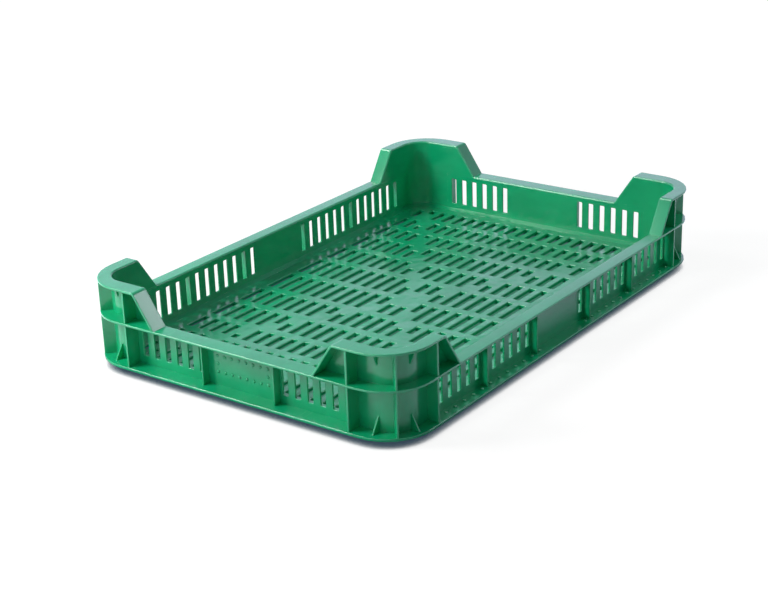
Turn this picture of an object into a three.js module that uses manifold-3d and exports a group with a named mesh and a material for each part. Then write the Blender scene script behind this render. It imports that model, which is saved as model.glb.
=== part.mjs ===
// A low stacking fruit crate: slotted floor and walls, wide rims and four tall corner posts.
// Millimetres, +Z up. The origin is on the ground under the middle of the crate.
// X runs along the long sides and Y along the short sides.
import * as THREE from "three";
import { mergeGeometries, mergeVertices } from "three/addons/utils/BufferGeometryUtils.js";
import Module from "manifold-3d";

const wasm = await Module();
wasm.setup();

// Overall sizes
const crateLength = 600;
const crateWidth = 400;
const postTop = 95;
const rimTop = 59;
const floorTop = 11.7;

// Plastic thicknesses
const wallThickness = 2.2;
const flangeThickness = 2.4;
const ribThickness = 2.2;
const floorThickness = 3.5;

const plasticColour = 0x2f9068;

// Overlap of two plates that are moulded together
const bondDepth = 0.2;

// The rims and caps are rounded along their inner edge, down to a narrow upright land
const edgeLandHeight = 0.4;
const edgeSteps = 3;

// Rim widths, from the inner face of the wall to the outer edge of the crate
const shortRimWidth = 20;
const longRimWidth = 16;

// Plan radii of the corners
const innerRadius = 25;
const outerRadius = 50;
const cornerSteps = 8;

// Corner posts: the centre of each end rib and the top end of each slope, from the crate's end
const endRibFromShortEnd = 62;
const endRibFromLongSide = 61.5;
const capFromShortEnd = 74;
const capFromLongSide = 77.5;
const slopeRunLength = 24;
const foldInsideRadius = 2;
const foldSteps = 3;
const endRibSetback = 1.4;
const centreRibSetback = 0.4;

// Gussets in the posts: place from the crate's end, reach from the wall, and height
const gussetFromShortEnd = 37;
const gussetFromLongSide = 38.5;
const footGussetReachOnLongSide = 8;
const footGussetReachOnShortSide = 10.5;
const footGussetHeight = 16;
const capGussetReach = 6;
const capGussetHeight = 15;
const gussetThickness = 1.6;

// Wall slots
const slotWidth = 6.4;
const slotBottom = 20;
const slotTop = 52;
const slotCornerRadius = 1;
const slotCornerSteps = 2;
const longSlotPitch = 15.5;
const shortSlotPitch = 15;
const longSlotMargin = 1.7;
const shortSlotMargin = 6.7;

// Slots stand in bays of six from each end of a wall, with a rib after each bay. The long walls
// have one more slot beyond their last rib.
const slotsPerBay = 6;
const longBays = 2;
const shortBays = 1;
const longExtraSlots = 1;

// Ribs on the low walls
const longRibDepth = 8;
const shortRibDepth = 9;

// Lower ledge: a flat flange round the foot of the walls, flush with the underside of the floor
const ledgeThickness = 3.1;

// Sloping strip where the floor meets the walls
const toeWidth = 6;
const toeHeight = 2.4;

// Floor slots: rows along X, split into bays by the beams below
const rowPitch = 15.2;
const floorSlotWidth = 7;
const floorLand = 11;
const floorMargin = 12;
const centreBayLength = 54;
const innerBayLength = 47.5;
const outerBays = 3;

// Solid bands that cross the floor: width along a row of slots, and how far they pass below
// the inside corners
const bandWidth = 19;
const bandCornerDrop = 16;

// Foot ring and the beams under the floor
const footClearance = 1.5;
const footWidth = 4.5;
const beamDepth = 4.5;
const beamThickness = 2;
const floorCornerGap = 0.3;

// Places that follow from the sizes above
const outerX = crateLength / 2;
const outerY = crateWidth / 2;
const innerX = outerX - shortRimWidth;
const innerY = outerY - longRimWidth;
const wallX = innerX + wallThickness;
const wallY = innerY + wallThickness;
const edgeRadius = flangeThickness - edgeLandHeight;
const rimBottom = rimTop - flangeThickness;
const capBottom = postTop - flangeThickness;
const floorBottom = floorTop - floorThickness;
const ledgeTop = floorBottom + ledgeThickness;
const longCapEnd = outerX - capFromShortEnd;
const shortCapEnd = outerY - capFromLongSide;
const endRibX = outerX - endRibFromShortEnd;
const endRibY = outerY - endRibFromLongSide;
const seamX = endRibX - ribThickness / 2;
const seamY = endRibY - ribThickness / 2;
const lastLongSlot = seamX - longSlotMargin - slotWidth / 2;
const lastShortSlot = seamY - shortSlotMargin - slotWidth / 2;
const footX = innerX - footClearance;
const footY = innerY - footClearance;
const footRadius = innerRadius - footClearance;

// Turns a closed three.js geometry into a solid that can be joined and cut.
function solidOf(geometry) {
  const bare = geometry.index ? geometry.toNonIndexed() : geometry.clone();
  bare.deleteAttribute("normal");
  bare.deleteAttribute("uv");
  const merged = mergeVertices(bare);
  const mesh = new wasm.Mesh({
    numProp: 3,
    vertProperties: new Float32Array(merged.attributes.position.array),
    triVerts: new Uint32Array(merged.index.array),
  });
  return new wasm.Manifold(mesh);
}

// Turns a solid back into a three.js geometry with flat faces.
function geometryOf(solid) {
  const mesh = solid.getMesh();
  const positions = new Float32Array(mesh.numVert * 3);
  for (let i = 0; i < mesh.numVert; i++) {
    const start = i * mesh.numProp;
    positions.set(mesh.vertProperties.subarray(start, start + 3), i * 3);
  }
  const indexed = new THREE.BufferGeometry();
  indexed.setAttribute("position", new THREE.BufferAttribute(positions, 3));
  indexed.setIndex(new THREE.BufferAttribute(new Uint32Array(mesh.triVerts), 1));
  const flat = indexed.toNonIndexed();
  flat.computeVertexNormals();
  return flat;
}

function join(...solids) {
  return solids.reduce((whole, next) => whole.add(next));
}

function shapeOf(points) {
  return new THREE.Shape(points.map(([x, y]) => new THREE.Vector2(x, y)));
}

// Extrudes an outline by one unit, then places it: the last column of the matrix is the place of
// the outline's origin, and the third one is the extrusion.
function prism(points, ...matrix) {
  const options = { depth: 1, bevelEnabled: false };
  const unit = new THREE.ExtrudeGeometry(shapeOf(points), options);
  return unit.applyMatrix4(new THREE.Matrix4().set(...matrix, 0, 0, 0, 1));
}

// Extrudes a plan outline upwards.
function prismUp(outline, bottom, top) {
  return prism(outline, 1, 0, 0, 0, 0, 1, 0, 0, 0, 0, top - bottom, bottom);
}

// Extrudes a section of (y, z) points along X.
function prismAlongX(section, start, end) {
  return prism(section, 0, 0, end - start, start, 1, 0, 0, 0, 0, 1, 0, 0);
}

// Extrudes a section of (x, z) points along Y.
function prismAlongY(section, start, end) {
  return prism(section, 1, 0, 0, 0, 0, 0, start - end, end, 0, 1, 0, 0);
}

function box(x0, x1, y0, y1, z0, z1) {
  const matrix = new THREE.Matrix4().makeScale(x1 - x0, y1 - y0, z1 - z0);
  matrix.setPosition((x0 + x1) / 2, (y0 + y1) / 2, (z0 + z1) / 2);
  return new THREE.BoxGeometry(1, 1, 1).applyMatrix4(matrix);
}

// Plan path round the corner at +X +Y: along the long side, round the arc and down the short side.
function cornerPath(faceX, faceY, radius) {
  const points = [[seamX, faceY]];
  for (let i = 0; i <= cornerSteps; i++) {
    const angle = ((Math.PI / 2) * (cornerSteps - i)) / cornerSteps;
    const x = faceX - radius + radius * Math.cos(angle);
    const y = faceY - radius + radius * Math.sin(angle);
    points.push([x, y]);
  }
  points.push([faceX, seamY]);
  return points;
}

// Paths at a distance out from the walls' inner face, or in from the crate's outer edge.
function outFromInside(out) {
  return cornerPath(innerX + out, innerY + out, innerRadius + out);
}

function inFromOutside(inset) {
  return cornerPath(outerX - inset, outerY - inset, outerRadius - inset);
}

// A closed solid through rings of [x, y, z] points. The contour is the outline of one ring in
// its own plane, anticlockwise for someone who sees the rings come towards them.
function loft(rings, contour) {
  const count = contour.length;
  const index = [];
  for (let i = 0; i + 1 < rings.length; i++) {
    for (let j = 0; j < count; j++) {
      const a = i * count + j;
      const b = i * count + ((j + 1) % count);
      index.push(a, b, a + count);
      index.push(b, b + count, a + count);
    }
  }
  const last = (rings.length - 1) * count;
  const outline = contour.map(([x, y]) => new THREE.Vector2(x, y));
  for (const [a, b, c] of THREE.ShapeUtils.triangulateShape(outline, [])) {
    index.push(a, c, b);
    index.push(last + a, last + b, last + c);
  }
  const geometry = new THREE.BufferGeometry();
  geometry.setAttribute("position", new THREE.Float32BufferAttribute(rings.flat(2), 3));
  geometry.setIndex(index);
  return solidOf(geometry);
}

// Rings round the corner from a section whose points are each a plan path and a height.
function cornerRings(section) {
  const stations = section[0][0].map((_, i) => i);
  return stations.map((i) => section.map(([path, z]) => [...path[i], z]));
}

// Sweeps such a section round the corner.
function sweepCorner(section) {
  const contour = section.map(([path, z]) => [path[0][1], z]);
  return loft(cornerRings(section), contour);
}

// The rounded inner edge of a flange, from its top face to its inner face, as (out, height).
function roundedEdge(top) {
  const points = [];
  for (let i = 0; i <= edgeSteps; i++) {
    const angle = (Math.PI / 2) * (1 + i / edgeSteps);
    const out = edgeRadius + edgeRadius * Math.cos(angle);
    points.push([out, top - edgeRadius + edgeRadius * Math.sin(angle)]);
  }
  return points;
}

// Outline of a wall slot with rounded corners, centred on the given place along the wall.
function slotOutline(centre) {
  const points = [];
  const corners = [
    [1, 1, 0],
    [-1, 1, 90],
    [-1, -1, 180],
    [1, -1, 270],
  ];
  for (const [sideways, upright, turn] of corners) {
    const x = centre + sideways * (slotWidth / 2 - slotCornerRadius);
    const z = (slotTop + slotBottom) / 2 + upright * ((slotTop - slotBottom) / 2 - slotCornerRadius);
    for (let i = 0; i <= slotCornerSteps; i++) {
      const angle = THREE.MathUtils.degToRad(turn + (90 * i) / slotCornerSteps);
      points.push([x + slotCornerRadius * Math.cos(angle), z + slotCornerRadius * Math.sin(angle)]);
    }
  }
  return points;
}

// Slot places on both halves of a wall, from the ends inwards.
function slotPlaces(last, pitch, count) {
  const places = [];
  for (let i = 0; i < count; i++) {
    const x = last - i * pitch;
    places.push(x, -x);
  }
  return places;
}

// Rib places on both halves of a wall, in order along it: half a pitch beyond each bay of slots.
function ribPlaces(last, pitch, bays) {
  const places = [];
  for (let bay = bays; bay > 0; bay--) {
    const x = last - (bay * slotsPerBay - 1 / 2) * pitch;
    places.unshift(-x);
    places.push(x);
  }
  return places;
}

// A low wall at +Y with its slots.
function longWall() {
  const plate = solidOf(box(-seamX, seamX, innerY, wallY, floorBottom, rimBottom));
  const places = slotPlaces(lastLongSlot, longSlotPitch, longBays * slotsPerBay + longExtraSlots);
  const cutters = places.map((x) => {
    return prismAlongY(slotOutline(x), innerY - wallThickness, wallY + wallThickness);
  });
  return plate.subtract(solidOf(mergeGeometries(cutters)));
}

// A low wall at +X with its slots.
function shortWall() {
  const plate = solidOf(box(innerX, wallX, -seamY, seamY, floorBottom, rimBottom));
  const places = slotPlaces(lastShortSlot, shortSlotPitch, shortBays * slotsPerBay);
  const cutters = places.map((y) => {
    return prismAlongX(slotOutline(y), innerX - wallThickness, wallX + wallThickness);
  });
  return plate.subtract(solidOf(mergeGeometries(cutters)));
}

// Section of the toe strip as (place across the wall, height), against a wall's inner face.
function toeSection(wallFace) {
  return [
    [wallFace - toeWidth, floorTop],
    [wallFace, floorTop],
    [wallFace, floorTop + toeHeight],
  ];
}

function longToe() {
  return solidOf(prismAlongX(toeSection(innerY), -seamX, seamX));
}

function shortToe() {
  return solidOf(prismAlongY(toeSection(innerX), -seamY, seamY));
}

// Section of what is cut off the inner top edge of a rim, as (out, height).
function edgeCutter() {
  return [
    ...roundedEdge(rimTop),
    [-edgeRadius, rimTop - edgeRadius],
    [-edgeRadius, rimTop + edgeRadius],
    [edgeRadius, rimTop + edgeRadius],
  ];
}

function longRim() {
  const plate = solidOf(box(-seamX, seamX, innerY, outerY, rimBottom, rimTop));
  const cutter = edgeCutter().map(([out, z]) => [innerY + out, z]);
  const end = longCapEnd - slopeRunLength;
  return plate.subtract(solidOf(prismAlongX(cutter, -end, end)));
}

function shortRim() {
  const plate = solidOf(box(innerX, outerX, -seamY, seamY, rimBottom, rimTop));
  const cutter = edgeCutter().map(([out, z]) => [innerX + out, z]);
  const end = shortCapEnd - slopeRunLength;
  return plate.subtract(solidOf(prismAlongY(cutter, -end, end)));
}

function longLedge() {
  return solidOf(box(-seamX, seamX, wallY, outerY, floorBottom, ledgeTop));
}

function shortLedge() {
  return solidOf(box(wallX, outerX, -seamY, seamY, floorBottom, ledgeTop));
}

// Upright ribs that stand on the ledge against the wall, under the rim.
function longRib(x) {
  const half = ribThickness / 2;
  return solidOf(box(x - half, x + half, wallY, wallY + longRibDepth, ledgeTop, rimBottom));
}

function shortRib(y) {
  const half = ribThickness / 2;
  return solidOf(box(wallX, wallX + shortRibDepth, y - half, y + half, ledgeTop, rimBottom));
}

// Side view of a sloped flange, as pairs of a point on its top face and the one below it on its
// underside: the foot on the rim, then the fold into the cap. Places are measured along the side
// from the middle of the crate.
function slopeStations(capEnd) {
  const tilt = Math.atan2(postTop - rimTop, slopeRunLength);
  const foot = capEnd - slopeRunLength;
  const radius = foldInsideRadius + flangeThickness;
  const foldX = capEnd + radius * Math.tan(tilt / 2);
  const foldZ = postTop - radius;
  const onFold = (angle, distance) => {
    return [foldX - distance * Math.sin(angle), foldZ + distance * Math.cos(angle)];
  };
  const stations = [[[foot, rimTop], [foot + flangeThickness / Math.sin(tilt), rimTop]]];
  for (let i = 0; i <= foldSteps; i++) {
    const angle = tilt * (1 - i / foldSteps);
    stations.push([onFold(angle, radius), onFold(angle, foldInsideRadius)]);
  }
  return stations;
}

function between([x0, z0], [x1, z1], share) {
  return [THREE.MathUtils.lerp(x0, x1, share), THREE.MathUtils.lerp(z0, z1, share)];
}

// The wall under a sloped flange, seen from the side.
function slopeWallSection(capEnd, seam) {
  const end = seam + ribThickness;
  const share = bondDepth / flangeThickness;
  const upperEdge = slopeStations(capEnd).map(([top, low]) => between(low, top, share));
  return [[end, rimTop], [end, capBottom + bondDepth], ...upperEdge.reverse()];
}

function slopeWalls() {
  return join(
    solidOf(prismAlongY(slopeWallSection(longCapEnd, seamX), innerY, wallY)),
    solidOf(prismAlongX(slopeWallSection(shortCapEnd, seamY), innerX, wallX)),
  );
}

// Rings of a sloped flange. The place function turns (along, out, height) into [x, y, z].
function slopeRings(capEnd, contour, place) {
  return slopeStations(capEnd).map(([top, low]) => {
    return contour.map(([out, height]) => {
      const [along, z] = between(low, top, height / flangeThickness);
      return place(along, out, z);
    });
  });
}

// The top flange: up the slope on the long side, round the corner and down on the short side.
function topFlange() {
  const contour = (width) => {
    return [[0, 0], [width, 0], [width, flangeThickness], ...roundedEdge(flangeThickness)];
  };
  const longContour = contour(longRimWidth);
  const shortContour = contour(shortRimWidth);
  const cap = [
    [outFromInside(0), capBottom],
    [inFromOutside(0), capBottom],
    [inFromOutside(0), postTop],
    ...roundedEdge(postTop).map(([out, z]) => [outFromInside(out), z]),
  ];
  const rings = [
    ...slopeRings(longCapEnd, longContour, (along, out, z) => [along, innerY + out, z]),
    ...cornerRings(cap),
    ...slopeRings(shortCapEnd, shortContour, (along, out, z) => [innerX + out, along, z]).reverse(),
  ];
  return loft(rings, longContour);
}

// The curved wall with the flange at rim height, the ledge and the toe on the floor.
function postShell() {
  const inner = outFromInside(0);
  const insideWall = outFromInside(bondDepth);
  const wall = outFromInside(wallThickness);
  const outer = inFromOutside(0);
  const plate = (inside, outside, bottom, top) => [
    [inside, bottom],
    [outside, bottom],
    [outside, top],
    [inside, top],
  ];
  const toe = [
    [outFromInside(-toeWidth), floorTop],
    [insideWall, floorTop],
    [insideWall, floorTop + toeHeight],
    [inner, floorTop + toeHeight],
  ];
  return join(
    sweepCorner(plate(inner, wall, floorBottom, capBottom + bondDepth)),
    sweepCorner(plate(inner, outer, rimBottom, rimTop)),
    sweepCorner(plate(inner, outer, floorBottom, ledgeTop)),
    sweepCorner(toe),
  );
}

// The end ribs, the diagonal rib and the small gussets of the post.
function postRibs() {
  const endX = seamX + ribThickness;
  const endY = seamY + ribThickness;
  const top = capBottom + bondDepth;
  const onLongSide = box(seamX, endX, innerY, outerY - endRibSetback, floorBottom, top);
  const onShortSide = box(innerX, outerX - endRibSetback, seamY, endY, floorBottom, top);
  return join(solidOf(onLongSide), solidOf(onShortSide), diagonalRib(), ...gussets());
}

// The rib that runs out at 45 degrees from the curved wall, on the flanges' own arc centre.
function diagonalRib() {
  const centreX = outerX - outerRadius;
  const centreY = outerY - outerRadius;
  const shiftX = innerX - innerRadius - centreX;
  const shiftY = innerY - innerRadius - centreY;
  const along = (shiftX + shiftY) / Math.SQRT2;
  const aside = (shiftY - shiftX) / Math.SQRT2;
  const start = along + Math.sqrt((innerRadius + wallThickness / 2) ** 2 - aside ** 2);
  const end = outerRadius - centreRibSetback;
  const half = ribThickness / 2;
  const plate = box(start, end, -half, half, floorBottom, capBottom + bondDepth);
  plate.rotateZ(Math.PI / 4);
  plate.translate(centreX, centreY, 0);
  return solidOf(plate);
}

// Triangular gussets, two on the ledge and two under the cap, square to the sides. They reach
// well into the wall, which falls away from them round the corner.
function gussets() {
  const x = outerX - gussetFromShortEnd;
  const y = outerY - gussetFromLongSide;
  const inWall = wallThickness - bondDepth;
  const foot = (wall, reach) => [
    [wall - inWall, ledgeTop - bondDepth],
    [wall + reach, ledgeTop - bondDepth],
    [wall + reach, ledgeTop],
    [wall, ledgeTop + footGussetHeight],
    [wall - inWall, ledgeTop + footGussetHeight],
  ];
  const cap = (wall) => [
    [wall - inWall, capBottom - capGussetHeight],
    [wall, capBottom - capGussetHeight],
    [wall + capGussetReach, capBottom],
    [wall + capGussetReach, capBottom + bondDepth],
    [wall - inWall, capBottom + bondDepth],
  ];
  const half = gussetThickness / 2;
  return [
    solidOf(prismAlongY(foot(wallX, footGussetReachOnShortSide), y - half, y + half)),
    solidOf(prismAlongY(cap(wallX), y - half, y + half)),
    solidOf(prismAlongX(foot(wallY, footGussetReachOnLongSide), x - half, x + half)),
    solidOf(prismAlongX(cap(wallY), x - half, x + half)),
  ];
}

function cornerPost() {
  return join(postShell(), topFlange(), slopeWalls(), postRibs());
}

// Bay edges of the floor on the +X half, from the middle to the wall. The beams lie on them.
function bayEdges() {
  const end = innerX - floorMargin;
  const edges = [0, centreBayLength, centreBayLength + innerBayLength, centreBayLength + 2 * innerBayLength];
  const start = edges[edges.length - 1];
  for (let i = 1; i <= outerBays; i++) {
    edges.push(start + ((end - start) * i) / outerBays);
  }
  return edges;
}

// Rows of floor slots on the +Y half.
function rowPlaces() {
  const rows = [];
  const limit = innerY - toeWidth - floorMargin;
  for (let y = rowPitch / 2; y + floorSlotWidth / 2 <= limit; y += rowPitch) {
    rows.push(y);
  }
  return rows;
}

// The stretches of a slot from start to end that a band centred on cross leaves open. A stub
// shorter than it is wide is left out.
function openStretches(start, end, cross) {
  const stretches = [
    [start, Math.min(end, cross - bandWidth / 2)],
    [Math.max(start, cross + bandWidth / 2), end],
  ];
  return stretches.filter(([from, to]) => to - from >= floorSlotWidth);
}

// The slots of the floor: one in each row and bay, cut short where a band passes.
function floorSlots() {
  const edges = bayEdges();
  const bandSlope = (innerY - bandCornerDrop) / innerX;
  const low = floorBottom - floorThickness;
  const high = floorTop + floorThickness;
  const half = floorSlotWidth / 2;
  const prisms = [];
  for (const y of rowPlaces()) {
    for (let i = 0; i + 1 < edges.length; i++) {
      const start = edges[i] + floorLand / 2;
      const end = edges[i + 1] - floorLand / 2;
      for (const [from, to] of openStretches(start, end, y / bandSlope)) {
        for (const row of [y, -y]) {
          prisms.push(box(from, to, row - half, row + half, low, high));
          prisms.push(box(-to, -from, row - half, row + half, low, high));
        }
      }
    }
  }
  return solidOf(mergeGeometries(prisms));
}

// Plan outline of the floor, whose rounded corners stay a little clear of the posts.
function floorOutline() {
  const radius = innerRadius + floorCornerGap / (Math.SQRT2 - 1);
  const points = [];
  for (let quarter = 0; quarter < 4; quarter++) {
    const signX = quarter === 0 || quarter === 3 ? 1 : -1;
    const signY = quarter < 2 ? 1 : -1;
    for (let i = 0; i <= cornerSteps; i++) {
      const angle = (Math.PI / 2) * (quarter + i / cornerSteps);
      const x = signX * (innerX - radius) + radius * Math.cos(angle);
      const y = signY * (innerY - radius) + radius * Math.sin(angle);
      points.push([x, y]);
    }
  }
  return points;
}

function floorPanel() {
  const plate = solidOf(prismUp(floorOutline(), floorBottom, floorTop));
  return plate.subtract(floorSlots());
}

// The foot ring stands just inside the posts of a crate below.
function longFoot() {
  const end = footX - footRadius;
  return solidOf(box(-end, end, footY - footWidth, footY, 0, floorBottom));
}

function shortFoot() {
  const end = footY - footRadius;
  return solidOf(box(footX - footWidth, footX, -end, end, 0, floorBottom));
}

function cornerFoot() {
  const arc = (radius) => {
    const points = [];
    for (let i = 0; i <= cornerSteps; i++) {
      const angle = ((Math.PI / 2) * i) / cornerSteps;
      const x = footX - footRadius + radius * Math.cos(angle);
      const y = footY - footRadius + radius * Math.sin(angle);
      points.push([x, y]);
    }
    return points;
  };
  const outline = [...arc(footRadius), ...arc(footRadius - footWidth).reverse()];
  return solidOf(prismUp(outline, 0, floorBottom));
}

function floorBeam(x) {
  const end = footY - footWidth;
  const half = beamThickness / 2;
  return solidOf(box(x - half, x + half, -end, end, floorBottom - beamDepth, floorBottom));
}

// One mesh of the crate's green plastic. A mirrored copy has -1 in its scale.
const crate = new THREE.Group();

function add(name, solid, mirrorX = 1, mirrorY = 1) {
  const material = new THREE.MeshStandardMaterial({ color: plasticColour, roughness: 0.35, metalness: 0 });
  const mesh = new THREE.Mesh(geometryOf(solid), material);
  mesh.name = name;
  mesh.scale.set(mirrorX, mirrorY, 1);
  crate.add(mesh);
}

add("floor_panel", floorPanel());

const longSides = [
  ["front", -1],
  ["back", 1],
];
const shortSides = [
  ["left", -1],
  ["right", 1],
];

for (const [side, sign] of longSides) {
  add("long_wall_" + side, longWall(), 1, sign);
  add("long_rim_" + side, longRim(), 1, sign);
  add("long_ledge_" + side, longLedge(), 1, sign);
  add("toe_strip_" + side, longToe(), 1, sign);
  add("foot_rail_" + side, longFoot(), 1, sign);
  const ribs = ribPlaces(lastLongSlot, longSlotPitch, longBays);
  ribs.forEach((x, i) => add("long_rib_" + side + "_" + (i + 1), longRib(x), 1, sign));
}

for (const [side, sign] of shortSides) {
  add("short_wall_" + side, shortWall(), sign, 1);
  add("short_rim_" + side, shortRim(), sign, 1);
  add("short_ledge_" + side, shortLedge(), sign, 1);
  add("toe_strip_" + side, shortToe(), sign, 1);
  add("foot_rail_" + side, shortFoot(), sign, 1);
  const ribs = ribPlaces(lastShortSlot, shortSlotPitch, shortBays);
  ribs.forEach((y, i) => add("short_rib_" + side + "_" + (i + 1), shortRib(y), sign, 1));
}

for (const [longSide, signY] of longSides) {
  for (const [shortSide, signX] of shortSides) {
    add("corner_post_" + longSide + "_" + shortSide, cornerPost(), signX, signY);
    add("foot_corner_" + longSide + "_" + shortSide, cornerFoot(), signX, signY);
  }
}

const beamPlaces = bayEdges().slice(0, -1);
const beams = [...beamPlaces.slice(1).map((x) => -x).reverse(), ...beamPlaces];
beams.forEach((x, i) => add("floor_beam_" + (i + 1), floorBeam(x)));

export default crate;
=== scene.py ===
import math

import bmesh
import bpy
from mathutils import Matrix, Vector
from mathutils.bvhtree import BVHTree


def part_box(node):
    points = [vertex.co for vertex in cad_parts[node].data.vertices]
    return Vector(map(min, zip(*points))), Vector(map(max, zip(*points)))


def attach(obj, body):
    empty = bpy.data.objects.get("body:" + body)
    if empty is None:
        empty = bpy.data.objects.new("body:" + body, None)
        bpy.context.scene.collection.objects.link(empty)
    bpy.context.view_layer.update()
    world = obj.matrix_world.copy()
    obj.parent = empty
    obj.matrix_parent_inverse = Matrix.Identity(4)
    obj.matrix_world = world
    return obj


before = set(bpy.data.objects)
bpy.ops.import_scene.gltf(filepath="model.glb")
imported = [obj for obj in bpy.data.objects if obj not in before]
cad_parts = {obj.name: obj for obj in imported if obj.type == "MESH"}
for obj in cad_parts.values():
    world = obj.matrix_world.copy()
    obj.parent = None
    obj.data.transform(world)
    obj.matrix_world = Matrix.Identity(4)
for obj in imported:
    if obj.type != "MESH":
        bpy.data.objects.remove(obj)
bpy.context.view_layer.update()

MM = 0.001

# Camera, solved from the photograph of 768 x 614 pixels
IMAGE_WIDTH = 768
FOCAL_PIXELS = 1671.7
SENSOR_WIDTH = 36.0
VIEW_DISTANCE = 50
CAMERA_PLACE = Vector((-1.3866, -0.9878, 0.6909))
CAMERA_AZIMUTH = math.radians(-53.55)
CAMERA_ELEVATION = math.radians(21.986)
CAMERA_ROLL = math.radians(-1.958)

# Meshes: facets of one plane are joined before their edges are rounded
WELD_DISTANCE = 0.005 * MM
FLAT_ANGLE = math.radians(0.5)
SMOOTH_ANGLE = math.radians(40)

# Which edges are rounded: the sharp ones that touch no other node
SHARP_ANGLE = math.radians(50)
TOUCH_DISTANCE = 0.35 * MM
UPRIGHT_SHARE = 0.99

# Radii: what is wanted, and what the faces beside an edge have room for
PLATE_ROUND = 1.1 * MM
WALL_ROUND = 0.6 * MM
FLOOR_TOP_ROUND = 1.2 * MM
SLOT_END_ROUND = 2.8 * MM
LARGEST_ROUND = SLOT_END_ROUND
LEAST_ROUND = 0.1 * MM
ROOM_SHARED = 0.70
ROOM_ALONE = 0.80
ROUND_SEGMENTS = 3

# Along a smooth run of edges, the radius changes by one step at most from edge to edge
RADIUS_STEP = 0.25 * MM
RUN_COSINE = math.cos(math.radians(50))
RUN_PASSES = 8

# How near an edge's middle has to be to its point in the guide
MATCH_DISTANCE = 0.01 * MM

# Raised dots on the plain panels of the short sides: places along Y, and heights
DOT_PITCH = 9 * MM
DOT_COLUMNS = 8
DOT_ROWS = (26 * MM, 43 * MM)
DOT_END_ROW = 34.5 * MM
DOT_RADIUS = 1.8 * MM
DOT_HEIGHT = 1.0 * MM

# Small raised dots on the long ledges, one under each slot of the wall above
LEDGE_DOT_RADIUS = 2.0 * MM
LEDGE_DOT_HEIGHT = 1.1 * MM
LEDGE_DOT_FROM_EDGE = 8 * MM
LAST_SLOT = 232 * MM
SLOT_PITCH = 15.5 * MM
SLOTS_PER_HALF = 13

# Mesh of a dot
DOT_SIDES = 16
DOT_RINGS = 4

# Colours, as linear red, green and blue
GREEN = (0.006, 0.410, 0.180)
DEEP_GREEN = (0.004, 0.345, 0.148)
# Pale green of worn places, also used on the tops of the ledge dots as a painted highlight
SCUFFED_OR_HIGHLIGHT_GREEN = (0.080, 0.500, 0.280)
WHITE = (1.0, 1.0, 1.0)

# Kinds of plastic: name, size and depth of its waves, and how much of it is worn by rubbing or painted
# pale, as a share and as the range of the noise in which that sets in
PLASTIC = ("moulded_green_plastic", 30 * MM, 0.20 * MM, 0.35, (0.66, 0.74))
WAVY_PLASTIC = ("moulded_green_floor", 19 * MM, 1.0 * MM, 0.35, (0.66, 0.74))
# For the ledge dots: pale on all that faces up, a painted highlight for the light they catch, not wear
PAINTED_HIGHLIGHT_PLASTIC = ("green_plastic_painted_highlight", 30 * MM, 0.20 * MM, 1.0, (0.0, 0.4))

# Noises in the plastic: scale per metre, detail, and roughness where it isn't the usual one
FLOW_NOISE = (1.6, 3, 0.6)
SPECKLE_NOISE = (700, 2)
PATCH_NOISE = (55, 4, 0.65)
LINE_NOISE = (1.0, 2, 0.6)
GLOSS_NOISE = (22, 3, 0.6)
WAVE_DETAIL = 1

# How the flow marks and the rubbed lines are drawn out along X, Y and Z
FLOW_STRETCH = (5, 9, 16)
LINES_ALONG_X = (12, 900, 12)
LINES_ALONG_Y = (900, 14, 14)

# Where the flow marks, the worn edges, their patches and the faces that look up set in
FLOW_RANGE = (0.35, 0.68)
EDGE_RANGE = (0.99, 0.90)
PATCH_RANGE = (0.50, 0.66)
FACING_UP_RANGE = (0.60, 0.95)

# Worn edges, gloss, grain, and the light that scatters inside the plastic
EDGE_WIDTH = 0.9 * MM
EDGE_SAMPLES = 4
EDGE_WEAR = 0.55
ROUGHNESS = 0.14
ROUGHNESS_CHANGE = 0.10
WORN_ROUGHNESS = 0.18
GRAIN_STRENGTH = 0.10
GRAIN_DEPTH = 0.02 * MM
PLASTIC_IOR = 1.46
SCATTER_SHARE = 0.25
SCATTER_RADIUS = (0.2, 1.0, 0.6)
SCATTER_SCALE = 3 * MM

# The floor as the camera sees it: how open it is to the sky, and the shade by the crate painted into
# its colour and glow
FLOOR_SIZE = 8.0
FLOOR_GREY = (0.20, 0.20, 0.20)
FLOOR_LIFT = (0.90, 0.90, 0.90)
LIFT_RANGE = (0.4, 1.0)
NEAR_REACH = 20 * MM
NEAR_RANGE = (0.28, 0.58)
OPENNESS_SAMPLES = 8
CRATE_REACH = (278 * MM, 178 * MM)
CRATE_FADE = 15 * MM
# Painted shade: dark by the crate's foot, and green under the crate for light passed on by the plastic
CONTACT_SHADE = (0.030, 0.055, 0.080)
UNDER_CRATE_PAINTED_SHADE = (0.045, 0.180, 0.115)

# The floor as gloss mirrors it, a glow with a painted pool of light towards one side and painted shade
# by the crate, and as the other rays see it
WIDE_REACH = 120 * MM
WIDE_RANGE = (0.64, 0.90)
MIRRORED_FLOOR = (1.25, 1.25, 1.60)
MIRRORED_LIT_SIDE = (2.3, 2.3, 2.6)
BRIGHT_SIDE = (-0.83, 0.55, 0)
BRIGHT_SIDE_RANGE = (0.12, 0.36)
MATT_FLOOR = (0.7, 0.7, 0.7)

# The sky: faint light, and what gloss mirrors, by height and in one bright spot. What gloss mirrors
# lights nothing: a painted reflection, with the spot as a painted highlight.
WORLD_LIGHT = (0.11, 0.11, 0.11)
SKY_LOW = (1.45, 1.40, 1.95)
SKY_HIGH = (0.80, 0.88, 1.12)
SKY_RANGE = (0.31, 0.43)
PAINTED_SKY_HIGHLIGHT = (10.0, 10.0, 10.0)
SPOT_DIRECTION = (-0.12, 0.52, 0.84)
SPOT_RANGE = (0.90, 0.97)

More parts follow.
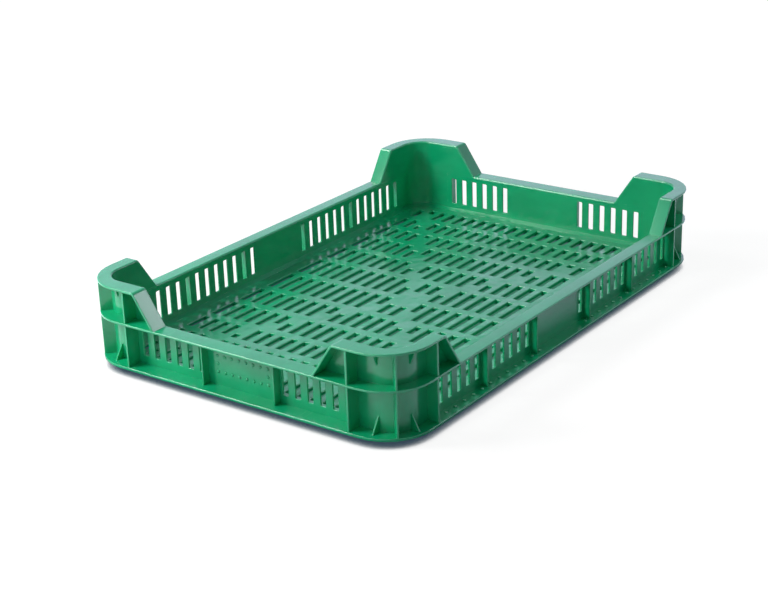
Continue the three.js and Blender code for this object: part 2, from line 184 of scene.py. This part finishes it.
# Lamps: name, direction from the crate's middle, distance, size, power and colour
LAMPS = (
    ("key", (-0.63, 0.52, 0.58), 1.4, (0.45, 0.45), 14, WHITE),
    ("left_fill", (-0.93, 0.10, 0.35), 1.5, (1.0, 1.0), 3.2, WHITE),
    ("top", (-0.05, 0.58, 0.81), 1.3, (0.35, 0.35), 3.5, WHITE),
    ("front_fill", (0.546, -0.58, 0.60), 1.3, (0.25, 0.25), 2.2, (0.85, 0.95, 1.0)),
)

# Sockets of the Mix node for colours
MIX_SHARE = 0
MIX_FIRST = 6
MIX_SECOND = 7
MIX_RESULT = 2


def add_to_scene(name, data):
    made = bpy.data.objects.new(name, data)
    bpy.context.scene.collection.objects.link(made)
    return made


def set_up_camera():
    data = bpy.data.cameras.new("camera")
    data.sensor_fit = "HORIZONTAL"
    data.sensor_width = SENSOR_WIDTH
    data.lens = SENSOR_WIDTH * FOCAL_PIXELS / IMAGE_WIDTH
    data.clip_end = VIEW_DISTANCE
    flat = math.cos(CAMERA_ELEVATION)
    back = Vector((
        math.sin(CAMERA_AZIMUTH) * flat,
        -math.cos(CAMERA_AZIMUTH) * flat,
        math.sin(CAMERA_ELEVATION),
    ))
    right = Vector((0, 0, 1)).cross(back).normalized()
    up = back.cross(right)
    turned_right = math.cos(CAMERA_ROLL) * right + math.sin(CAMERA_ROLL) * up
    turned_up = -math.sin(CAMERA_ROLL) * right + math.cos(CAMERA_ROLL) * up
    camera = add_to_scene("camera", data)
    camera.matrix_world = Matrix((
        (turned_right.x, turned_up.x, back.x, CAMERA_PLACE.x),
        (turned_right.y, turned_up.y, back.y, CAMERA_PLACE.y),
        (turned_right.z, turned_up.z, back.z, CAMERA_PLACE.z),
        (0, 0, 0, 1),
    ))
    bpy.context.scene.camera = camera


# Node helpers
def node(tree, kind, inputs=None, **settings):
    """A new node with its settings, and its inputs by name: a value, or an output to link."""
    made = tree.nodes.new(kind)
    for key, value in settings.items():
        setattr(made, key, value)
    for key, value in (inputs or {}).items():
        if isinstance(value, bpy.types.NodeSocket):
            tree.links.new(value, made.inputs[key])
        else:
            made.inputs[key].default_value = value
    return made


def math_node(tree, operation, *values, clamp=False):
    inputs = dict(enumerate(values))
    return node(tree, "ShaderNodeMath", inputs, operation=operation, use_clamp=clamp).outputs[0]


def dot_product(tree, first, second):
    inputs = {0: first, 1: second}
    return node(tree, "ShaderNodeVectorMath", inputs, operation="DOT_PRODUCT").outputs["Value"]


def ramp_between(tree, value, low, high):
    """0 below low, 1 above high, smooth in between."""
    inputs = {"Value": value, "From Min": low, "From Max": high}
    made = node(tree, "ShaderNodeMapRange", inputs, interpolation_type="SMOOTHSTEP")
    return made.outputs["Result"]


def noise(tree, place, scale, detail=3.0, roughness=0.5):
    inputs = {"Vector": place, "Scale": scale, "Detail": detail, "Roughness": roughness}
    return node(tree, "ShaderNodeTexNoise", inputs).outputs["Fac"]


def stretched(tree, place, scale):
    return node(tree, "ShaderNodeMapping", {"Vector": place, "Scale": scale}).outputs["Vector"]


def opaque(colour):
    """A colour with its alpha. The output of a node stays as it is."""
    return colour if isinstance(colour, bpy.types.NodeSocket) else (*colour, 1)


def mix_colour(tree, share, first, second):
    inputs = {MIX_SHARE: share, MIX_FIRST: opaque(first), MIX_SECOND: opaque(second)}
    return node(tree, "ShaderNodeMix", inputs, data_type="RGBA").outputs[MIX_RESULT]


def shader(tree, kind, colour):
    return node(tree, kind, {"Color": opaque(colour)}).outputs[0]


def mix_shader(tree, share, first, second):
    return node(tree, "ShaderNodeMixShader", {0: share, 1: first, 2: second}).outputs[0]


def openness(tree, reach):
    """1 where nothing stands within reach, and less in a corner."""
    inputs = {"Distance": reach}
    return node(tree, "ShaderNodeAmbientOcclusion", inputs, samples=OPENNESS_SAMPLES).outputs["AO"]


def new_material(name):
    material = bpy.data.materials.new(name)
    material.use_nodes = True
    material.node_tree.nodes.clear()
    return material, material.node_tree


# Green plastic
def flow_colour(tree, place):
    """A slow change of colour where the melt flowed."""
    flow = noise(tree, stretched(tree, place, FLOW_STRETCH), *FLOW_NOISE)
    return mix_colour(tree, ramp_between(tree, flow, *FLOW_RANGE), GREEN, DEEP_GREEN)


def wear_and_highlight(tree, place, rubbed_or_highlight_share, rubbed_or_highlight_range):
    """How worn or painted pale a place is: worn free edges, and fine lines of rubbing on what faces
    up. With a full share and a low range the lines cover all that faces up: a painted highlight.
    """
    geometry = node(tree, "ShaderNodeNewGeometry").outputs
    rounded = node(tree, "ShaderNodeBevel", {"Radius": EDGE_WIDTH}, samples=EDGE_SAMPLES)
    agreement = dot_product(tree, rounded.outputs["Normal"], geometry["True Normal"])
    edge = ramp_between(tree, agreement, *EDGE_RANGE)
    patchy = ramp_between(tree, noise(tree, place, *PATCH_NOISE), *PATCH_RANGE)
    edge_wear = math_node(tree, "MULTIPLY", edge, patchy)
    upward = node(tree, "ShaderNodeSeparateXYZ", {0: geometry["Normal"]}).outputs["Z"]
    facing_up = ramp_between(tree, upward, *FACING_UP_RANGE)
    lines_x = noise(tree, stretched(tree, place, LINES_ALONG_X), *LINE_NOISE)
    lines_y = noise(tree, stretched(tree, place, LINES_ALONG_Y), *LINE_NOISE)
    lines = math_node(tree, "MAXIMUM", lines_x, lines_y)
    lines_or_highlight = math_node(tree, "MULTIPLY", ramp_between(tree, lines, *rubbed_or_highlight_range), facing_up)
    edge_part = math_node(tree, "MULTIPLY", edge_wear, EDGE_WEAR)
    lines_or_highlight_part = math_node(tree, "MULTIPLY", lines_or_highlight, rubbed_or_highlight_share)
    return math_node(tree, "ADD", edge_part, lines_or_highlight_part, clamp=True)


def uneven_normal(tree, place, wave_size, wave_depth):
    """Moulded grain, and the slow waviness of thin walls."""
    speckle = noise(tree, place, *SPECKLE_NOISE)
    inputs = {"Height": speckle, "Strength": GRAIN_STRENGTH, "Distance": GRAIN_DEPTH}
    grain = node(tree, "ShaderNodeBump", inputs).outputs[0]
    waves = noise(tree, place, 1 / wave_size, WAVE_DETAIL)
    inputs = {"Height": waves, "Strength": 1.0, "Distance": wave_depth, "Normal": grain}
    return node(tree, "ShaderNodeBump", inputs).outputs[0]


def green_plastic(name, wave_size, wave_depth, rubbed_or_highlight_share, rubbed_or_highlight_range):
    material, tree = new_material(name)
    place = node(tree, "ShaderNodeTexCoord").outputs["Object"]
    scuffed_or_highlight = wear_and_highlight(tree, place, rubbed_or_highlight_share, rubbed_or_highlight_range)
    patches = noise(tree, place, *GLOSS_NOISE)
    gloss = math_node(tree, "MULTIPLY_ADD", patches, ROUGHNESS_CHANGE, ROUGHNESS)
    surface = node(tree, "ShaderNodeBsdfPrincipled", {
        "Base Color": mix_colour(tree, scuffed_or_highlight, flow_colour(tree, place), SCUFFED_OR_HIGHLIGHT_GREEN),
        "Roughness": math_node(tree, "MULTIPLY_ADD", scuffed_or_highlight, WORN_ROUGHNESS, gloss),
        "IOR": PLASTIC_IOR,
        "Subsurface Weight": SCATTER_SHARE,
        "Subsurface Radius": SCATTER_RADIUS,
        "Subsurface Scale": SCATTER_SCALE,
        "Normal": uneven_normal(tree, place, wave_size, wave_depth),
    })
    node(tree, "ShaderNodeOutputMaterial", {"Surface": surface.outputs[0]})
    return material


# Floor of the studio
def seen_floor(tree, place):
    """Pale and matt, lifted to white away from the crate, with painted shade under it and by its foot,
    tinted green under it for the light the plastic passes on.
    """
    away = node(tree, "ShaderNodeVectorMath", {0: place}, operation="LENGTH").outputs["Value"]
    lift = mix_colour(tree, ramp_between(tree, away, *LIFT_RANGE), FLOOR_LIFT, WHITE)
    parts = node(tree, "ShaderNodeSeparateXYZ", {0: place}).outputs
    beside = [
        ramp_between(tree, math_node(tree, "ABSOLUTE", parts[axis]), reach - CRATE_FADE, reach)
        for axis, reach in zip("XY", CRATE_REACH)
    ]
    outside = math_node(tree, "MAXIMUM", *beside)
    # Painted shade under and by the crate, in the glow and in the matt colour
    shade = mix_colour(tree, outside, UNDER_CRATE_PAINTED_SHADE, CONTACT_SHADE)
    near = ramp_between(tree, openness(tree, NEAR_REACH), *NEAR_RANGE)
    open_sky = math_node(tree, "MULTIPLY", near, outside)
    glow = shader(tree, "ShaderNodeEmission", mix_colour(tree, open_sky, shade, lift))
    grey = mix_colour(tree, open_sky, CONTACT_SHADE, FLOOR_GREY)
    matt = shader(tree, "ShaderNodeBsdfDiffuse", grey)
    return node(tree, "ShaderNodeAddShader", {0: matt, 1: glow}).outputs[0]


def mirrored_floor(tree, place):
    """What gloss mirrors: a glowing floor with a painted pool of light on one side and painted shade
    by the crate's foot.
    """
    # Painted reflection: the lit side and the crate's shade, seen only by gloss
    side = ramp_between(tree, dot_product(tree, place, BRIGHT_SIDE), *BRIGHT_SIDE_RANGE)
    colour = mix_colour(tree, side, MIRRORED_FLOOR, MIRRORED_LIT_SIDE)
    wide = ramp_between(tree, openness(tree, WIDE_REACH), *WIDE_RANGE)
    return shader(tree, "ShaderNodeEmission", mix_colour(tree, wide, CONTACT_SHADE, colour))


def pale_floor():
    """The studio's floor for each kind of ray. It is clear from below."""
    material, tree = new_material("pale_floor")
    place = node(tree, "ShaderNodeTexCoord").outputs["Object"]
    path = node(tree, "ShaderNodeLightPath").outputs
    below = node(tree, "ShaderNodeNewGeometry").outputs["Backfacing"]
    matt = shader(tree, "ShaderNodeBsdfDiffuse", MATT_FLOOR)
    clear = shader(tree, "ShaderNodeBsdfTransparent", WHITE)
    other = mix_shader(tree, path["Is Glossy Ray"], matt, mirrored_floor(tree, place))
    above = mix_shader(tree, path["Is Camera Ray"], other, seen_floor(tree, place))
    node(tree, "ShaderNodeOutputMaterial", {"Surface": mix_shader(tree, below, above, clear)})
    return material


# Geometry node groups of the modifiers
def new_group(name):
    """A group with a geometry socket at each end, and the output of its start."""
    group = bpy.data.node_groups.new(name, "GeometryNodeTree")
    for end in ("INPUT", "OUTPUT"):
        group.interface.new_socket("Geometry", in_out=end, socket_type="NodeSocketGeometry")
    return group, node(group, "NodeGroupInput").outputs[0]


def shading_group():
    """Smooth faces with sharp edges only where the surface turns by more than SMOOTH_ANGLE."""
    group, start = new_group("smooth_by_angle")
    inputs = {"Geometry": start, "Name": "custom_normal"}
    bare = node(group, "GeometryNodeRemoveAttribute", inputs).outputs["Geometry"]
    inputs = {0: bare, "Shade Smooth": True}
    faces = node(group, "GeometryNodeSetShadeSmooth", inputs, domain="FACE").outputs[0]
    angle = node(group, "GeometryNodeInputMeshEdgeAngle").outputs["Unsigned Angle"]
    inputs = {0: faces, "Shade Smooth": math_node(group, "LESS_THAN", angle, SMOOTH_ANGLE)}
    edges = node(group, "GeometryNodeSetShadeSmooth", inputs, domain="EDGE").outputs[0]
    node(group, "NodeGroupOutput", {0: edges})
    return group


def rounding_group(guide):
    """Stores each edge's bevel weight, read from the guide's point at the middle of that edge."""
    group, start = new_group("edge_rounding")
    points = node(group, "GeometryNodeObjectInfo", {"Object": guide}).outputs["Geometry"]
    nearest = node(group, "GeometryNodeSampleNearest", {"Geometry": points}, domain="POINT")
    stored = node(group, "GeometryNodeInputNamedAttribute", {"Name": "weight"}, data_type="FLOAT")
    inputs = {
        "Geometry": points,
        "Value": stored.outputs[0],
        "Index": nearest.outputs["Index"],
    }
    weight = node(group, "GeometryNodeSampleIndex", inputs, data_type="FLOAT", domain="POINT")
    nearby = node(group, "GeometryNodeProximity", {0: points}, target_element="POINTS")
    known = math_node(group, "LESS_THAN", nearby.outputs["Distance"], MATCH_DISTANCE)
    inputs = {
        "Geometry": start,
        "Name": "bevel_weight_edge",
        "Value": math_node(group, "MULTIPLY", weight.outputs[0], known),
    }
    named = node(group, "GeometryNodeStoreNamedAttribute", inputs, data_type="FLOAT", domain="EDGE")
    node(group, "NodeGroupOutput", {0: named.outputs[0]})
    return group


# Rounded edges
def middle_of(edge):
    return (edge.verts[0].co + edge.verts[1].co) / 2


def wanted_radius(name, edge, half_way):
    """The radius of a sharp edge. The floor's slots have round ends and soft edges on top."""
    if name != "floor_panel":
        return WALL_ROUND if "_wall_" in name else PLATE_ROUND
    start, end = [vertex.co for vertex in edge.verts]
    if abs(start.z - end.z) > (start - end).length * UPRIGHT_SHARE:
        return SLOT_END_ROUND
    return FLOOR_TOP_ROUND if start.z > half_way else 0


def turns_inward(loop, rounded):
    """True where this edge of a face runs on into a sharp inner corner that isn't rounded."""
    after = loop.link_loop_next
    corners = ((loop, loop.link_loop_prev.edge), (after, after.edge))
    return any(
        not corner.is_convex and beside not in rounded
        and beside.calc_face_angle(0) > SHARP_ANGLE for corner, beside in corners
    )


def room_beside(edge, rounded):
    """How far this edge's rounding can reach over its two faces before it meets another edge.

    It is the radius of the largest circle that touches the middle of the edge in the face.
    """
    room = LARGEST_ROUND
    middle = middle_of(edge)
    for loop in edge.link_loops:
        if turns_inward(loop, rounded):
            return 0
        along = (loop.link_loop_next.vert.co - loop.vert.co).normalized()
        inward = loop.face.normal.cross(along)
        for other in loop.face.loops:
            if other.edge == edge:
                continue
            ends = [vertex.co - middle for vertex in other.edge.verts]
            (s, h), (t, k) = [(end.dot(along), end.dot(inward)) for end in ends]
            points = [(s, h), (t, k), ((s + t) / 2, (h + k) / 2)]
            if s * t < 0:
                points.append((0, h + (k - h) * s / (s - t)))
            for aside, depth in points:
                if depth < WELD_DISTANCE:
                    continue
                if other.edge in rounded:
                    room = min(room, ROOM_SHARED * (aside * aside + depth * depth) / (2 * depth))
                elif abs(aside) < edge.calc_length() / 2 + depth:
                    room = min(room, ROOM_ALONE * depth)
    return room if room > LEAST_ROUND else 0


def even_out(radii):
    """Along a smooth run of edges, the radius changes only a little from edge to edge."""
    for _ in range(RUN_PASSES):
        for edge, radius in radii.items():
            for vertex in edge.verts:
                along = edge.other_vert(vertex).co - vertex.co
                for other in vertex.link_edges:
                    if other == edge or other not in radii:
                        continue
                    beyond = vertex.co - other.other_vert(vertex).co
                    if along.normalized().dot(beyond.normalized()) > RUN_COSINE:
                        radius = min(radius, radii[other] + RADIUS_STEP)
            radii[edge] = radius


def boxes_touch(first, second):
    (low, high), (other_low, other_high) = first, second
    return all(
        other_low[i] - TOUCH_DISTANCE < high[i] and other_high[i] + TOUCH_DISTANCE > low[i]
        for i in range(3)
    )


def free_radii(name, form, box, neighbours):
    """The radius of every sharp outer edge of a node that touches none of its neighbours."""
    low, high = box
    half_way = (low.z + high.z) / 2
    radii = {}
    for edge in form.edges:
        if len(edge.link_faces) != 2 or edge.calc_face_angle() < SHARP_ANGLE:
            continue
        middle = middle_of(edge)
        if edge.calc_face_angle_signed() > 0 and all(
            tree.find_nearest(middle, TOUCH_DISTANCE)[0] is None for tree in neighbours
        ):
            radii[edge] = wanted_radius(name, edge, half_way)
    for edge, radius in radii.items():
        radii[edge] = min(radius, room_beside(edge, radii))
    even_out(radii)
    return radii


def free_edges(nodes):
    """(middle, radius) of every edge that gets rounded."""
    graph = bpy.context.evaluated_depsgraph_get()
    forms = {}
    for name, obj in nodes.items():
        form = bmesh.new()
        form.from_mesh(obj.evaluated_get(graph).to_mesh())
        form.normal_update()
        forms[name] = form
    trees = {name: BVHTree.FromBMesh(form) for name, form in forms.items()}
    boxes = {name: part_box(name) for name in nodes}
    found = []
    for name, form in forms.items():
        box = boxes[name]
        neighbours = [
            trees[other]
            for other, other_box in boxes.items()
            if other != name and boxes_touch(box, other_box)
        ]
        radii = free_radii(name, form, box, neighbours)
        found += [(middle_of(edge), radius) for edge, radius in radii.items()]
    for form in forms.values():
        form.free()
    return found


def edge_guide(found):
    """A hidden object with one point for each rounded edge, which holds its bevel weight."""
    mesh = bpy.data.meshes.new("edge_guide")
    mesh.from_pydata([middle for middle, _ in found], [], [])
    weights = mesh.attributes.new("weight", "FLOAT", "POINT")
    weights.data.foreach_set("value", [radius / LARGEST_ROUND for _, radius in found])
    guide = add_to_scene("edge_guide", mesh)
    guide.hide_render = True
    return guide


def round_edges(nodes):
    for obj in nodes.values():
        weld = obj.modifiers.new("weld", "WELD")
        weld.merge_threshold = WELD_DISTANCE
        flat = obj.modifiers.new("flat_faces", "DECIMATE")
        flat.decimate_type = "DISSOLVE"
        flat.angle_limit = FLAT_ANGLE
    bpy.context.view_layer.update()
    rounding = rounding_group(edge_guide(free_edges(nodes)))
    shading = shading_group()
    for obj in nodes.values():
        obj.modifiers.new("edge_weights", "NODES").node_group = rounding
        bevel = obj.modifiers.new("rounded_edges", "BEVEL")
        bevel.width = LARGEST_ROUND
        bevel.segments = ROUND_SEGMENTS
        bevel.limit_method = "WEIGHT"
        bevel.use_clamp_overlap = False
        bevel.loop_slide = False
        obj.modifiers.new("smooth_by_angle", "NODES").node_group = shading
        normals = obj.modifiers.new("flat_face_normals", "WEIGHTED_NORMAL")
        normals.keep_sharp = True


# Raised dots
def add_dot(form, centre, outward, radius, height):
    """A low dome on a flat face."""
    across = outward.orthogonal().normalized()
    upward = outward.cross(across)
    turns = [2 * math.pi * j / DOT_SIDES for j in range(DOT_SIDES)]
    rings = []
    for i in range(DOT_RINGS):
        angle = math.pi / 2 * i / DOT_RINGS
        lift = outward * height * math.sin(angle)
        reach = radius * math.cos(angle)
        rings.append([
            form.verts.new(centre + lift + reach * (math.cos(turn) * across + math.sin(turn) * upward))
            for turn in turns
        ])
    top = form.verts.new(centre + outward * height)
    for inner, outer in zip(rings[1:], rings):
        for j in range(DOT_SIDES):
            k = (j + 1) % DOT_SIDES
            form.faces.new((outer[j], outer[k], inner[k], inner[j]))
    for j in range(DOT_SIDES):
        form.faces.new((rings[-1][j], rings[-1][(j + 1) % DOT_SIDES], top))
    form.faces.new(rings[0][::-1])


def add_dots(name, centres, outward, radius, height, material):
    form = bmesh.new()
    for centre in centres:
        add_dot(form, centre, outward, radius, height)
    bmesh.ops.recalc_face_normals(form, faces=form.faces)
    mesh = bpy.data.meshes.new(name)
    form.to_mesh(mesh)
    form.free()
    mesh.shade_smooth()
    mesh.materials.append(material)
    dots = add_to_scene(name, mesh)
    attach(dots, "root")


def panel_dots(side, outward, material):
    """Dots round the plain panel of a short side."""
    low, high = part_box("short_wall_" + side)
    face = high.x if outward.x > 0 else low.x
    columns = [(i - (DOT_COLUMNS - 1) / 2) * DOT_PITCH for i in range(DOT_COLUMNS)]
    places = [(y, z) for z in DOT_ROWS for y in columns]
    places += [(columns[0], DOT_END_ROW), (columns[-1], DOT_END_ROW)]
    centres = [Vector((face, y, z)) for y, z in places]
    add_dots("panel_dots_" + side, centres, outward, DOT_RADIUS, DOT_HEIGHT, material)


def ledge_dots(side, outward, material):
    """A row of dots on the top of a long ledge."""
    low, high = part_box("long_ledge_" + side)
    y = high.y - LEDGE_DOT_FROM_EDGE if outward.y > 0 else low.y + LEDGE_DOT_FROM_EDGE
    places = [LAST_SLOT - i * SLOT_PITCH for i in range(SLOTS_PER_HALF)]
    centres = [Vector((x * sign, y, high.z)) for x in places for sign in (-1, 1)]
    up = Vector((0, 0, 1))
    add_dots("ledge_dots_" + side, centres, up, LEDGE_DOT_RADIUS, LEDGE_DOT_HEIGHT, material)


# Studio
def set_up_floor():
    half = FLOOR_SIZE / 2
    corners = [(-half, -half, 0), (half, -half, 0), (half, half, 0), (-half, half, 0)]
    mesh = bpy.data.meshes.new("floor")
    mesh.from_pydata(corners, [], [(0, 1, 2, 3)])
    mesh.materials.append(pale_floor())
    floor = add_to_scene("floor", mesh)


def area_light(name, direction, distance, size, power, colour):
    """A soft light that looks at the crate's middle."""
    data = bpy.data.lights.new(name, "AREA")
    data.shape = "RECTANGLE"
    data.size, data.size_y = size
    data.energy = power
    data.color = colour
    lamp = add_to_scene(name, data)
    towards = Vector(direction).normalized()
    lamp.location = towards * distance
    lamp.rotation_euler = (-towards).to_track_quat("-Z", "Y").to_euler()


def set_up_world():
    """White where the camera sees it, a bluish sky where gloss mirrors it, and faint light. The
    mirrored sky lights nothing: a painted reflection with a painted highlight spot.
    """
    world = bpy.data.worlds.new("studio")
    bpy.context.scene.world = world
    world.use_nodes = True
    tree = world.node_tree
    tree.nodes.clear()
    path = node(tree, "ShaderNodeLightPath").outputs
    direction = node(tree, "ShaderNodeTexCoord").outputs["Generated"]
    height = node(tree, "ShaderNodeSeparateXYZ", {0: direction}).outputs["Z"]
    mirrored = mix_colour(tree, ramp_between(tree, height, *SKY_RANGE), SKY_LOW, SKY_HIGH)
    # Painted highlight: a bright spot seen only in reflections, for glints on edges and slot ends
    spot = ramp_between(tree, dot_product(tree, direction, SPOT_DIRECTION), *SPOT_RANGE)
    mirrored = mix_colour(tree, spot, mirrored, PAINTED_SKY_HIGHLIGHT)
    colour = mix_colour(tree, path["Is Glossy Ray"], WORLD_LIGHT, mirrored)
    direct = math_node(tree, "ADD", path["Is Camera Ray"], path["Is Transmission Ray"], clamp=True)
    sky = shader(tree, "ShaderNodeBackground", mix_colour(tree, direct, colour, WHITE))
    node(tree, "ShaderNodeOutputWorld", {"Surface": sky})


set_up_camera()
set_up_floor()
for lamp in LAMPS:
    area_light(*lamp)
set_up_world()
bpy.context.scene.view_settings.view_transform = "Standard"

plastic = green_plastic(*PLASTIC)
wavy_plastic = green_plastic(*WAVY_PLASTIC)
painted_highlight_plastic = green_plastic(*PAINTED_HIGHLIGHT_PLASTIC)
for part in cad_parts.values():
    part.material_slots[0].material = plastic
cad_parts["floor_panel"].material_slots[0].material = wavy_plastic

round_edges(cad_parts)
panel_dots("left", Vector((-1, 0, 0)), plastic)
panel_dots("right", Vector((1, 0, 0)), plastic)
# The ledge dots' tops are painted pale: a painted highlight
ledge_dots("front", Vector((0, -1, 0)), painted_highlight_plastic)
ledge_dots("back", Vector((0, 1, 0)), painted_highlight_plastic)
